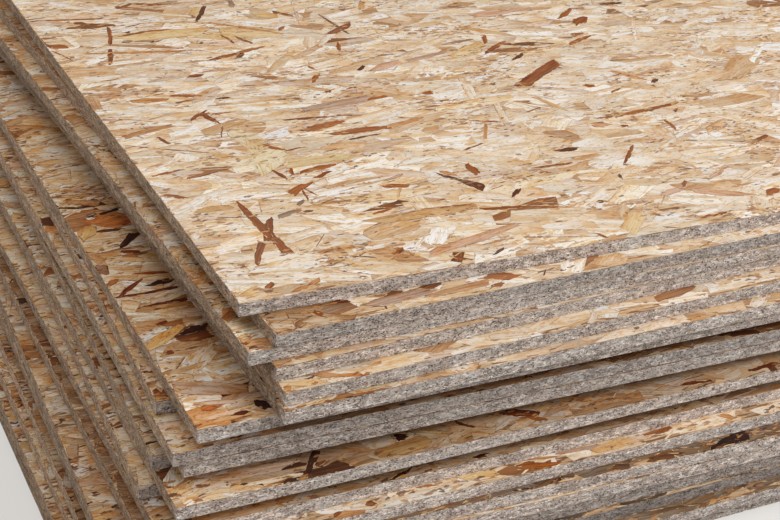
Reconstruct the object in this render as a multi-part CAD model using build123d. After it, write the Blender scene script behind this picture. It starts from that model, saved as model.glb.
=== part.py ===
from build123d import *
from collections import namedtuple
import os

# A loose stack of oriented strand board panels (OSB), square-edged, lying flat one on
# another. Millimetres, +Z up, +X along the panels' long side, +Y along their short side.
# The origin is the centre of the bottom panel's underside.

# One pressed panel, as sold. Every panel of the stack is the same.
panel_length = 2500.0
panel_width = 1250.0
panel_thickness = 18.0

# How a panel was laid. slide_x and slide_y carry its front left corner (low X, low Y) away
# from the front left corner of the bottom panel. turn then swings it about its own front
# left corner, in degrees, counter-clockwise seen from above.
Lay = namedtuple("Lay", "slide_x slide_y turn")

# The stack was put down by hand, so it creeps back and to the right on its way up, with a
# few panels pushed in or swung round. Listed from the bottom panel to the top one.
lays = [
    Lay(0.0, 0.0, 0.0),
    Lay(1.0, -8.0, 0.0),
    Lay(14.0, 8.0, 0.3),
    Lay(14.0, 29.0, -1.0),
    Lay(22.0, 31.0, -1.3),
    Lay(18.0, 40.0, -1.9),
    Lay(55.0, 32.0, 0.2),
    Lay(68.0, 55.0, 0.3),
    Lay(66.0, 122.0, -2.0),
    Lay(85.0, 50.0, 0.3),
    Lay(82.0, 126.0, -1.9),
    Lay(102.0, 76.0, -0.4),
    Lay(89.0, 76.0, -0.4),
    Lay(95.0, 151.0, -1.6),
    Lay(111.0, 60.0, 0.2),
    Lay(202.0, 38.0, 1.4),
    Lay(205.0, 46.0, 2.5),
    Lay(203.0, 69.0, 3.2),
    Lay(175.0, 82.0, 1.7),
    Lay(205.0, 80.0, 2.1),
    Lay(180.0, 126.0, 0.0),
]


def make_panel():
    # A pressed panel is sawn to size all round, so its faces and edges are plain.
    # Its front left corner is at the origin.
    corner = (Align.MIN, Align.MIN, Align.MIN)
    return Box(panel_length, panel_width, panel_thickness, align=corner)


def make_seat(lay, level):
    # Where the front left corner of a panel rests: face to face on the panel below it.
    x = lay.slide_x - panel_length / 2
    y = lay.slide_y - panel_width / 2
    z = level * panel_thickness
    return Location((x, y, z), (0.0, 0.0, lay.turn))


def make_stack():
    # The panels by name, counted up from the one on the ground.
    panels = {}
    for level, lay in enumerate(lays):
        panels[f"panel_{level + 1:02d}"] = make_seat(lay, level) * make_panel()
    return panels


os.makedirs("parts", exist_ok=True)
for name, solid in make_stack().items():
    export_step(solid, f"parts/{name}.step")
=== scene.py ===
import math
from collections import namedtuple

import bpy
import numpy as np
from mathutils import Matrix, Vector


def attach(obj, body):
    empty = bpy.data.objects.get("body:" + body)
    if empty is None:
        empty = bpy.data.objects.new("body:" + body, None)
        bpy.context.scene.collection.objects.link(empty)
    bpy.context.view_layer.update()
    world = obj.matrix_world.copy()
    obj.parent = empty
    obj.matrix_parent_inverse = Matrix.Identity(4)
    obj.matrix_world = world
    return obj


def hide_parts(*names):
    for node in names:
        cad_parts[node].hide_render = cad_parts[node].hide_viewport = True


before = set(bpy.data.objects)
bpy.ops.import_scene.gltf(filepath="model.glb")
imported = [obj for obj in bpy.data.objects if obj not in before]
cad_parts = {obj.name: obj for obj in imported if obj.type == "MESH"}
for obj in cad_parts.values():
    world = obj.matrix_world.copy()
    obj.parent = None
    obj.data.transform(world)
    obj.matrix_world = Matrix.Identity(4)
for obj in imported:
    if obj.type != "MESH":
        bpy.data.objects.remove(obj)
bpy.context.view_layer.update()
print("stack loaded:", len(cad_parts), "panels")


# colours are written as they look on screen, 0 to 255

def paint(red, green, blue):
    linear = []
    for value in (red, green, blue):
        part = value / 255
        linear.append(part / 12.92 if part <= 0.04045 else ((part + 0.055) / 1.055) ** 2.4)
    return (*linear, 1.0)


def makeMaterial(name):
    material = bpy.data.materials.new(name)
    material.use_nodes = True
    tree = material.node_tree
    tree.nodes.clear()
    output = tree.nodes.new("ShaderNodeOutputMaterial")
    shader = tree.nodes.new("ShaderNodeBsdfPrincipled")
    tree.links.new(shader.outputs["BSDF"], output.inputs["Surface"])
    return material, tree, shader


def addNode(tree, kind, inputs=None, **settings):
    node = tree.nodes.new(kind)
    for key, value in settings.items():
        setattr(node, key, value)
    for key, value in (inputs or {}).items():
        if isinstance(value, bpy.types.NodeSocket):
            tree.links.new(value, node.inputs[key])
        else:
            node.inputs[key].default_value = value
    return node


def mathNode(tree, operation, first, second=0.0, clamp=False):
    node = addNode(tree, "ShaderNodeMath", {0: first, 1: second}, operation=operation, use_clamp=clamp)
    return node.outputs[0]


def multiply(tree, first, second):
    return mathNode(tree, "MULTIPLY", first, second)


def vectorNode(tree, operation, inputs):
    return addNode(tree, "ShaderNodeVectorMath", inputs, operation=operation).outputs[0]


def stretched(tree, vector, scale):
    return vectorNode(tree, "MULTIPLY", {0: vector, 1: scale})


def dimmed(tree, colour, factor):
    return vectorNode(tree, "SCALE", {0: colour, "Scale": factor})


def spread(tree, value, low, high, outLow=0.0, outHigh=1.0, curve="LINEAR"):
    node = addNode(tree, "ShaderNodeMapRange", {
        "Value": value, "From Min": low, "From Max": high, "To Min": outLow, "To Max": outHigh,
    }, interpolation_type=curve)
    return node.outputs["Result"]


def eased(tree, value, low, high):
    return spread(tree, value, low, high, curve="SMOOTHSTEP")


def mixColours(tree, factor, first, second, blend="MIX"):
    inputs = {0: factor, 6: first, 7: second}
    return addNode(tree, "ShaderNodeMix", inputs, data_type="RGBA", blend_type=blend).outputs[2]


def noiseNode(tree, vector, scale=1.0, detail=2.0, roughness=0.5, distortion=0.0):
    node = addNode(tree, "ShaderNodeTexNoise", {
        "Vector": vector, "Scale": scale, "Detail": detail,
        "Roughness": roughness, "Distortion": distortion,
    })
    return node.outputs["Fac"]


# three random numbers for each cell, and the distance to its middle
def cellNode(tree, vector, scale=1.0):
    cells = addNode(tree, "ShaderNodeTexVoronoi", {"Vector": vector, "Scale": scale})
    parts = addNode(tree, "ShaderNodeSeparateColor", {"Color": cells.outputs["Color"]})
    return parts.outputs, cells.outputs["Distance"]


def palenessNode(tree, colour):
    return addNode(tree, "ShaderNodeRGBToBW", {"Color": colour}).outputs[0]


def objectPlace(tree):
    return addNode(tree, "ShaderNodeTexCoord").outputs["Object"]


def readAttribute(tree, name):
    return addNode(tree, "ShaderNodeAttribute", attribute_type="GEOMETRY", attribute_name=name).outputs


def readAxes(tree, name):
    return addNode(tree, "ShaderNodeSeparateXYZ", {"Vector": readAttribute(tree, name)["Vector"]}).outputs


def addBump(tree, shader, height, relief):
    bump = addNode(tree, "ShaderNodeBump", {"Height": height, "Distance": relief, "Strength": 1.0})
    tree.links.new(bump.outputs["Normal"], shader.inputs["Normal"])


def startGroup(name, inputs, outputs):
    group = bpy.data.node_groups.new(name, "ShaderNodeTree")
    for label, kind, value in inputs:
        socket = group.interface.new_socket(name=label, in_out="INPUT", socket_type=kind)
        if value is not None:
            socket.default_value = value
    for label, kind in outputs:
        group.interface.new_socket(name=label, in_out="OUTPUT", socket_type=kind)
    return group, group.nodes.new("NodeGroupInput").outputs, group.nodes.new("NodeGroupOutput")


def placeGroup(tree, group, inputs):
    return addNode(tree, "ShaderNodeGroup", inputs, node_tree=group).outputs


grainLook = {
    "sway": 0.0016,  # metres that the grain wanders to either side
    "honeyColour": (0.94, 0.80, 0.58, 1.0),
    "stainColour": (0.90, 0.72, 0.46, 1.0),
    "fibreColour": (0.80, 0.69, 0.55, 1.0),
    "veinColour": (0.74, 0.54, 0.36, 1.0),
    "tideColour": (0.78, 0.60, 0.42, 1.0),
    "milkColour": (0.84, 0.78, 0.69, 1.0),
    "milk": 0.45,
    "fleckColour": (0.30, 0.16, 0.08, 1.0),
    "fleck": 0.60,
    "darkBands": (0.60, 1.25),  # least and most light in the bands of a dark strand
    "paleBands": (0.955, 1.04),
    "veinDepth": 0.6,
}


# long fibres, veins and honey patches in wood, along the first axis of Place
def makeGrainGroup():
    look = grainLook
    group, given, result = startGroup("woodGrain", [
        ("Place", "NodeSocketVector", None),
        ("Tint", "NodeSocketColor", (0.8, 0.7, 0.5, 1.0)),
        ("Fibre", "NodeSocketFloat", 0.5),
        ("Veins", "NodeSocketFloat", 0.5),
        ("Honey", "NodeSocketFloat", 0.5),
    ], [("Color", "NodeSocketColor"), ("Height", "NodeSocketFloat")])
    wander = noiseNode(group, stretched(group, given["Place"], (24.0, 60.0, 9.0)), detail=1.0)
    aside = spread(group, wander, 0.3, 0.7, -look["sway"], look["sway"])
    sway = addNode(group, "ShaderNodeCombineXYZ", {"Y": aside}).outputs[0]
    place = vectorNode(group, "ADD", {0: given["Place"], 1: sway})
    fine = noiseNode(group, stretched(group, place, (24.0, 820.0, 31.0)), detail=3.0, roughness=0.65)
    broad = noiseNode(group, stretched(group, place, (9.0, 330.0, 17.0)), detail=1.0)
    patch = noiseNode(group, stretched(group, place, (24.0, 60.0, 23.0)), detail=2.0, distortion=0.6)
    stain = noiseNode(group, stretched(group, place, (44.0, 150.0, 29.0)), detail=2.0, distortion=0.6)
    milk = noiseNode(group, stretched(group, place, (15.0, 80.0, 41.0)), detail=2.0)
    fleck = noiseNode(group, stretched(group, place, (120.0, 640.0, 53.0)), detail=1.0)
    band = noiseNode(group, stretched(group, place, (11.0, 430.0, 67.0)), detail=2.0, roughness=0.6)
    honey = multiply(group, eased(group, patch, 0.49, 0.62), given["Honey"])
    stained = multiply(group, eased(group, stain, 0.57, 0.66), given["Honey"])
    fibre = multiply(group, spread(group, fine, 0.60, 0.34), given["Fibre"])
    vein = multiply(group, eased(group, broad, 0.60, 0.70), given["Veins"])
    shore = mathNode(group, "ABSOLUTE", mathNode(group, "SUBTRACT", patch, 0.55))
    tide = multiply(group, eased(group, shore, 0.016, 0.0), given["Veins"])
    tone = given["Tint"]
    for share, colour in (
        (honey, "honeyColour"), (stained, "stainColour"), (fibre, "fibreColour"),
        (vein, "veinColour"), (tide, "tideColour"),
    ):
        tone = mixColours(group, share, tone, look[colour], "MULTIPLY")
    paleness = palenessNode(group, given["Tint"])
    milkMost = spread(group, paleness, 0.25, 0.75, 0.0, look["milk"])
    milkShare = multiply(group, spread(group, milk, 0.54, 0.72), milkMost)
    tone = mixColours(group, milkShare, tone, look["milkColour"])
    fleckShare = spread(group, fleck, 0.64, 0.69, 0.0, look["fleck"])
    tone = mixColours(group, fleckShare, tone, look["fleckColour"])
    least, most = (
        spread(group, paleness, 0.2, 0.6, dark, pale)
        for dark, pale in zip(look["darkBands"], look["paleBands"])
    )
    tone = dimmed(group, tone, spread(group, band, 0.37, 0.63, least, most))
    group.links.new(tone, result.inputs["Color"])
    height = mathNode(group, "SUBTRACT", fine, multiply(group, vein, look["veinDepth"]))
    group.links.new(height, result.inputs["Height"])
    return group


# small dark spots: bark crumbs on a face, open pores on a sawn edge
def makeSpotGroup():
    group, given, result = startGroup("darkSpots", [
        ("Place", "NodeSocketVector", None),
        ("Cells", "NodeSocketFloat", 200.0),
        ("Size", "NodeSocketFloat", 0.2),
        ("Share", "NodeSocketFloat", 0.3),
    ], [("Mask", "NodeSocketFloat")])
    parts, distance = cellNode(group, given["Place"], given["Cells"])
    chosen = mathNode(group, "LESS_THAN", parts["Red"], given["Share"])
    grown = multiply(group, given["Size"], spread(group, parts["Green"], 0, 1, 0.5, 1.4))
    spot = eased(group, mathNode(group, "DIVIDE", distance, grown), 1.0, 0.55)
    group.links.new(multiply(group, spot, chosen), result.inputs["Mask"])
    return group


# yard dust and slow changes of tone over a whole panel
def makeDustGroup():
    group, given, result = startGroup("yardDust", [
        ("Place", "NodeSocketVector", None),
        ("Color", "NodeSocketColor", (0.8, 0.7, 0.5, 1.0)),
        ("Dust", "NodeSocketColor", (0.6, 0.5, 0.4, 1.0)),
        ("Amount", "NodeSocketFloat", 0.2),
    ], [("Color", "NodeSocketColor")])
    slow = noiseNode(group, given["Place"], scale=4.5, detail=3.0, roughness=0.6)
    share = multiply(group, eased(group, slow, 0.40, 0.72), given["Amount"])
    group.links.new(mixColours(group, share, given["Color"], given["Dust"]), result.inputs["Color"])
    return group


grainGroup = makeGrainGroup()
spotGroup = makeSpotGroup()
dustGroup = makeDustGroup()


strandLook = {
    "fibre": 0.32,
    "veins": 0.50,
    "honey": 0.80,
    "fade": 0.75,
    "fadeColour": (0.86, 0.68, 0.48, 1.0),
    "rimColour": (0.42, 0.26, 0.16, 1.0),
    "rimWidth": 1.25,  # mm of dark line inside a strand's outline
    "rimDepth": 0.95,
    "tatter": (-1.2, 1.8),  # mm that pale fibres reach into a dark strand
    "tatterColour": paint(222, 200, 166),
    "fines": (0.010, 0.42),  # share of chips outside and inside a cluster
    "finesDepth": 0.8,
    "chip": paint(214, 172, 120),
    "bark": paint(158, 112, 78),
    "crumbColour": paint(100, 62, 36),
    "dustColour": paint(224, 210, 190),
    "dustAmount": 0.10,
    "specular": 0.25,
    "roughness": (0.55, 0.80),
    "relief": 0.00015,
}


# mm from a spot on a strand to the nearest part of its outline
def outlineDistance(tree, rim, run):
    sideways = mathNode(tree, "ABSOLUTE", rim["X"])
    toSide = multiply(tree, mathNode(tree, "SUBTRACT", 1.0, sideways), rim["Y"])
    offMiddle = mathNode(tree, "ABSOLUTE", mathNode(tree, "SUBTRACT", run["X"], 0.5))
    toEnd = multiply(tree, mathNode(tree, "SUBTRACT", 0.5, offMiddle), run["Y"])
    return mathNode(tree, "MINIMUM", toSide, toEnd)


# fines: chips of bark and small orange pieces in loose clusters
def addFines(tree, tone, where):
    look = strandLook
    drift = noiseNode(tree, where, scale=160.0, detail=1.0)
    moved = vectorNode(tree, "ADD", {
        0: stretched(tree, where, (120.0, 300.0, 120.0)), 1: stretched(tree, drift, (1.6, 1.6, 0.0)),
    })
    parts, _ = cellNode(tree, moved)
    cluster = noiseNode(tree, stretched(tree, where, (8.0, 15.0, 8.0)), detail=2.0)
    chosen = mathNode(tree, "LESS_THAN", parts["Red"], spread(tree, cluster, 0.47, 0.70, *look["fines"]))
    bit = mixColours(tree, spread(tree, parts["Green"], 0.2, 0.8), look["chip"], look["bark"])
    bit = mixColours(tree, spread(tree, parts["Blue"], 0.76, 0.84), bit, look["crumbColour"])
    return mixColours(tree, multiply(tree, chosen, look["finesDepth"]), tone, bit)


def makeStrandMaterial():
    look = strandLook
    material, tree, shader = makeMaterial("strandFace")
    painted = readAttribute(tree, "strandTint")
    place = readAttribute(tree, "strandPlace")["Vector"]
    rim = readAxes(tree, "strandRim")
    run = readAxes(tree, "strandRun")
    grain = placeGroup(tree, grainGroup, {
        "Place": place, "Tint": painted["Color"], "Fibre": look["fibre"],
        "Veins": look["veins"], "Honey": look["honey"],
    })
    # some strands darken towards one end, some carry a darker band along one side
    chance = run["Z"]
    ending = multiply(tree, spread(tree, run["X"], 0.35, 1.0), spread(tree, chance, 0.62, 0.64))
    banding = multiply(tree, spread(tree, rim["X"], 0.0, 0.9), spread(tree, chance, 0.40, 0.38))
    faded = multiply(tree, mathNode(tree, "ADD", ending, banding, clamp=True), look["fade"])
    tone = mixColours(tree, faded, grain["Color"], look["fadeColour"], "MULTIPLY")
    # a broken dark line runs inside the outline: partly dark resin and bark, partly painted shade along
    # the strand's raised edge
    inside = outlineDistance(tree, rim, run)
    ragged = noiseNode(tree, stretched(tree, place, (240.0, 500.0, 9.0)), detail=2.0)
    inward = mathNode(tree, "ADD", inside, spread(tree, ragged, 0.3, 0.7, -0.5, 0.7))
    broken = noiseNode(tree, stretched(tree, place, (38.0, 38.0, 9.0)), detail=1.0)
    line = multiply(tree, eased(tree, inward, look["rimWidth"], 0.1), spread(tree, broken, 0.37, 0.50))
    line = multiply(tree, line, multiply(tree, rim["Z"], look["rimDepth"]))
    tone = mixColours(tree, line, tone, look["rimColour"], "MULTIPLY")
    # dark strands are tattered: pale fibres cross their outlines
    torn = noiseNode(tree, stretched(tree, place, (90.0, 280.0, 9.0)), detail=1.5)
    whole = mathNode(tree, "ADD", inside, spread(tree, torn, 0.34, 0.66, *look["tatter"]))
    darkness = spread(tree, palenessNode(tree, painted["Color"]), 0.46, 0.32)
    tatter = multiply(tree, spread(tree, whole, 0.45, 0.0), darkness)
    tone = mixColours(tree, tatter, tone, look["tatterColour"])
    where = objectPlace(tree)
    tone = addFines(tree, tone, where)
    crumbs = placeGroup(tree, spotGroup, {
        "Place": stretched(tree, where, (1.0, 1.8, 1.0)), "Cells": 130.0, "Size": 0.15, "Share": 0.09,
    })
    tone = mixColours(tree, crumbs["Mask"], tone, look["crumbColour"])
    dusty = placeGroup(tree, dustGroup, {
        "Place": where, "Color": tone, "Dust": look["dustColour"], "Amount": look["dustAmount"],
    })
    # painted shade: the tint's fourth value deepens the colours of the shaded faces between the panels,
    # more than on the open top
    deepened = addNode(tree, "ShaderNodeGamma", {"Color": dusty["Color"], "Gamma": painted["Alpha"]})
    tree.links.new(deepened.outputs["Color"], shader.inputs["Base Color"])
    shader.inputs["Specular IOR Level"].default_value = look["specular"]
    rough = spread(tree, grain["Height"], 0.1, 0.8, *look["roughness"])
    tree.links.new(rough, shader.inputs["Roughness"])
    addBump(tree, shader, grain["Height"], look["relief"])
    return material


bedLook = {
    "pale": paint(222, 200, 166),
    "tan": paint(190, 152, 112),
    "brown": paint(140, 98, 66),
    "fineColour": (0.72, 0.62, 0.52, 1.0),
    "pit": paint(84, 58, 40),
    "roughness": (0.70, 0.90),
    "relief": 0.0003,
}


# the bed of fines that shows between strands, and the underside
def makeBedMaterial():
    look = bedLook
    material, tree, shader = makeMaterial("finesBed")
    where = objectPlace(tree)
    parts, _ = cellNode(tree, stretched(tree, where, (45.0, 330.0, 45.0)))
    tone = mixColours(tree, parts["Red"], look["pale"], look["tan"])
    tone = mixColours(tree, spread(tree, parts["Green"], 0.72, 0.80), tone, look["brown"])
    fine = noiseNode(tree, stretched(tree, where, (60.0, 700.0, 60.0)), detail=2.0)
    tone = mixColours(tree, spread(tree, fine, 0.62, 0.38), tone, look["fineColour"], "MULTIPLY")
    pits = placeGroup(tree, spotGroup, {
        "Place": stretched(tree, where, (1.0, 2.2, 1.0)), "Cells": 170.0, "Size": 0.28, "Share": 0.35,
    })["Mask"]
    tree.links.new(mixColours(tree, pits, tone, look["pit"]), shader.inputs["Base Color"])
    tree.links.new(spread(tree, fine, 0.3, 0.7, *look["roughness"]), shader.inputs["Roughness"])
    addBump(tree, shader, mathNode(tree, "SUBTRACT", fine, pits), look["relief"])
    return material


edgeLook = {
    "sway": 0.0010,
    "light": paint(250, 243, 238),
    "mid": paint(231, 218, 209),
    "dark": paint(190, 172, 160),
    "red": paint(204, 172, 150),
    "redDepth": 0.8,
    "streakColour": (0.62, 0.56, 0.50, 1.0),
    "shadow": paint(172, 154, 142),
    "grit": (0.72, 1.28),
    "fleck": paint(246, 242, 238),
    "lump": (0.76, 1.24),
    "cool": (0.94, 0.98, 1.0, 1.0),
    "pore": paint(64, 48, 38),
    "poreDark": 0.80,
    "poreDepth": 1.5,
    "dustColour": paint(196, 188, 180),
    "dustAmount": 0.25,
    "roughness": (0.78, 0.95),
    "relief": 0.0006,
}


# sawn edges, where the strands are cut across
def makeEdgeMaterial():
    look = edgeLook
    material, tree, shader = makeMaterial("sawnEdge")
    place = readAttribute(tree, "edgePlace")["Vector"]
    wander = noiseNode(tree, stretched(tree, place, (30.0, 90.0, 5.0)), detail=2.0)
    lift = spread(tree, wander, 0.3, 0.7, -look["sway"], look["sway"])
    sway = addNode(tree, "ShaderNodeCombineXYZ", {"Y": lift}).outputs[0]
    bent = vectorNode(tree, "ADD", {0: place, 1: sway})
    streak = noiseNode(tree, stretched(tree, bent, (190.0, 1300.0, 7.0)), detail=3.0, roughness=0.7)
    clump = noiseNode(tree, stretched(tree, bent, (55.0, 120.0, 7.0)), detail=2.0, roughness=0.6)
    grit = noiseNode(tree, stretched(tree, bent, (300.0, 620.0, 7.0)), detail=2.0, roughness=0.65)
    fleck = noiseNode(tree, stretched(tree, bent, (330.0, 720.0, 23.0)), detail=1.0)
    lump = noiseNode(tree, stretched(tree, bent, (120.0, 270.0, 11.0)), detail=1.0)
    cool = noiseNode(tree, stretched(tree, place, (7.0, 40.0, 3.0)), detail=1.0)
    parts, _ = cellNode(tree, stretched(tree, bent, (110.0, 760.0, 13.0)))
    tone = mixColours(tree, parts["Red"], look["dark"], look["light"])
    tone = mixColours(tree, spread(tree, parts["Green"], 0.35, 0.75), tone, look["mid"])
    redShare = spread(tree, parts["Blue"], 0.86, 0.94, 0.0, look["redDepth"])
    tone = mixColours(tree, redShare, tone, look["red"])
    tone = mixColours(tree, spread(tree, streak, 0.62, 0.34), tone, look["streakColour"], "MULTIPLY")
    tone = mixColours(tree, spread(tree, clump, 0.36, 0.62), look["shadow"], tone)
    tone = dimmed(tree, tone, spread(tree, grit, 0.36, 0.64, *look["grit"]))
    tone = mixColours(tree, spread(tree, fleck, 0.62, 0.69), tone, look["fleck"])
    tone = dimmed(tree, tone, spread(tree, lump, 0.34, 0.66, *look["lump"]))
    tone = mixColours(tree, spread(tree, cool, 0.45, 0.60), tone, look["cool"], "MULTIPLY")
    pores = placeGroup(tree, spotGroup, {
        "Place": stretched(tree, bent, (1.0, 2.0, 1.0)), "Cells": 330.0, "Size": 0.42,
        "Share": spread(tree, clump, 0.66, 0.38, 0.30, 1.0),
    })
    gaps = placeGroup(tree, spotGroup, {
        "Place": stretched(tree, bent, (1.0, 3.6, 1.0)), "Cells": 120.0, "Size": 0.26, "Share": 0.34,
    })
    holes = mathNode(tree, "MAXIMUM", pores["Mask"], gaps["Mask"])
    dusty = placeGroup(tree, dustGroup, {
        "Place": place, "Color": tone, "Dust": look["dustColour"], "Amount": look["dustAmount"],
    })
    tone = mixColours(tree, multiply(tree, holes, look["poreDark"]), dusty["Color"], look["pore"])
    # painted shade of each sawn side, partly each panel's own tone
    shade = readAttribute(tree, "edgeShade")["Color"]
    tree.links.new(mixColours(tree, 1.0, tone, shade, "MULTIPLY"), shader.inputs["Base Color"])
    tree.links.new(spread(tree, streak, 0.3, 0.7, *look["roughness"]), shader.inputs["Roughness"])
    height = mathNode(tree, "SUBTRACT", streak, multiply(tree, holes, look["poreDepth"]))
    addBump(tree, shader, height, look["relief"])
    return material


materials = [makeEdgeMaterial(), makeBedMaterial(), makeStrandMaterial()]
edgeSlot, bedSlot, strandSlot = range(3)
print("materials made")


# where each packed panel lies: its front left corner, directions and sizes

Seat = namedtuple("Seat", "origin along across length width low high")


def readSeat(node):
    corners = np.array([vertex.co for vertex in node.data.vertices], float)
    flat = corners[:, :2]
    frontLeft = flat[np.argmin(flat[:, 0] + flat[:, 1])]
    frontRight = flat[np.argmax(flat[:, 0] - flat[:, 1])]
    backLeft = flat[np.argmin(flat[:, 0] - flat[:, 1])]
    length = np.linalg.norm(frontRight - frontLeft)
    width = np.linalg.norm(backLeft - frontLeft)
    return Seat(
        frontLeft, (frontRight - frontLeft) / length, (backLeft - frontLeft) / width,
        length, width, corners[:, 2].min(), corners[:, 2].max(),
    )


def toWorld(seat, spots, heights):
    flat = seat.origin + spots[..., :1] * seat.along + spots[..., 1:2] * seat.across
    return np.concatenate([flat, heights[..., None]], -1)


# how far spots lie inside the outline of the panel above, below zero outside it
def depthUnder(seat, cover, spots):
    flat = seat.origin + spots[..., :1] * seat.along + spots[..., 1:2] * seat.across - cover.origin
    a = flat @ cover.along
    b = flat @ cover.across
    return np.minimum(np.minimum(a, cover.length - a), np.minimum(b, cover.width - b))


# wood tones of the strands with their shares: broad strands, then thin slivers
tones = [
    (paint(244, 238, 230), 31, 19),
    (paint(237, 226, 211), 30, 22),
    (paint(231, 214, 191), 19, 18),
    (paint(223, 204, 187), 10, 10),
    (paint(217, 188, 154), 7.5, 11),
    (paint(199, 161, 122), 2.5, 7),
    (paint(172, 127, 89), 1.0, 5),
    (paint(142, 93, 50), 0.35, 3.5),
    (paint(98, 62, 34), 0.0, 1.5),
]

strandSizes = {
    "turn": 15.0,  # degrees either side of the panel's length
    "wildTurn": 28.0,
    "wildShare": 0.30,
    "light": 0.040,  # how much the tone varies from strand to strand
    "warm": 0.03,
    "depth": 0.00034,  # how far the strands lie below the face
    "markDepth": 0.00004,
    "tilt": 0.00010,
    "markTilt": 0.2,  # share of that tilt
    "slab": 0.0005,
    "shortest": 0.008,
    "overhang": 0.02,  # strands may start this far outside the panel
    "covered": 0.004,  # strands deeper than this under the panel above are left out
    "wave": 0.10,  # unevenness of the sides, as a share of the width
    "markWave": 0.17,
    "middle": (0.9, 1.1),  # shares of the width half way along
    "middleShift": 0.15,
    "bend": 0.012,
    "slant": 0.35,  # of cut ends, as a share of the width
    "rimSpread": 0.35,  # how much the dark outline varies from strand to strand
}
strandEnds = {  # cut, torn and pointed ends
    "share": (0.64, 0.27, 0.09),
    "least": (0.72, 0.30, 0.04),  # of the strand's width
    "most": (1.00, 0.62, 0.22),
    "neckPower": 0.35,
    "neck": (0.86, 1.10),
}

# length and width are middle, spread, least and most; level runs from 0, deepest, to 1
strandKinds = {
    "broad": {
        "cell": (0.074, 0.0195), "length": (0.100, 0.25, 0.050, 0.150),
        "width": (0.032, 0.32, 0.014, 0.056), "level": (0.0, 0.45), "tones": 1, "rim": 0.66,
    },
    "narrow": {
        "cell": (0.068, 0.0310), "length": (0.066, 0.38, 0.026, 0.145),
        "width": (0.0175, 0.48, 0.0055, 0.040), "level": (0.30, 1.0), "tones": 1, "rim": 0.56,
    },
    "sliver": {
        "cell": (0.050, 0.032), "length": (0.034, 0.48, 0.010, 0.085),
        "width": (0.0018, 0.45, 0.0007, 0.0046), "level": (0.40, 1.0), "tones": 2, "rim": 0.0,
    },
}
stationShares = (0.0, 0.12, 0.5, 0.88, 1.0)  # where a strand has points along its length
stationCount = len(stationShares)
nearZero = 1e-6


def someSizes(random, count, middle, spreadOf, least, most):
    return np.clip(np.exp(random.normal(math.log(middle), spreadOf, count)), least, most)


def pickTones(random, count, column):
    colours = np.array([tone[0][:3] for tone in tones])
    shares = np.array([tone[column] for tone in tones], float)
    picked = colours[random.choice(len(tones), count, p=shares / shares.sum())]
    light = random.normal(1.0, strandSizes["light"], (count, 1))
    warm = random.normal(0.0, strandSizes["warm"], (count, 1)) * np.array([[0.5, 0.0, -1.0]])
    return np.clip(picked * (light + warm), 0.01, 0.95)


def strandAngles(random, count):
    size = strandSizes
    calm = random.normal(0.0, size["turn"], count)
    wild = random.normal(0.0, size["wildTurn"], count)
    return np.radians(np.where(random.random(count) < size["wildShare"], wild, calm))


# one random spot in each cell of a grid over the panel
def scatter(random, seat, cell):
    margin = strandSizes["overhang"]
    span = seat.length + 2 * margin
    columns = int(math.ceil(span / cell[0]))
    rows = int(math.ceil(seat.width / cell[1]))
    a, b = np.meshgrid(np.arange(columns), np.arange(rows), indexing="ij")
    spots = np.stack([a, b], -1).reshape(-1, 2) + random.random((columns * rows, 2))
    return spots * np.array([span / columns, seat.width / rows]) - np.array([margin, 0.0])


# each strand stops at the sawn edge of its panel
def sawnReach(seat, middles, lengths, heading):
    first, last = -lengths / 2, lengths / 2
    for axis, limit in ((0, seat.length), (1, seat.width)):
        step = np.where(np.abs(heading[:, axis]) < nearZero, nearZero, heading[:, axis])
        ends = np.sort(np.stack([-middles[:, axis] / step, (limit - middles[:, axis]) / step]), 0)
        first, last = np.maximum(first, ends[0]), np.minimum(last, ends[1])
    sawn = np.stack([first > -lengths / 2 + nearZero, last < lengths / 2 - nearZero], -1)
    return first, last, sawn


# each strand leans by up to the tilt, towards one side or the other
def leanOver(random, tilt, count, shares):
    lean = random.uniform(0, tilt, (count, 1, 1))
    return lean * np.where(random.random((count, 1, 1)) < 0.5, shares, 1 - shares)


def stacked(shape, *values):
    return np.stack([np.broadcast_to(value, shape) for value in values], -1)


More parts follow.
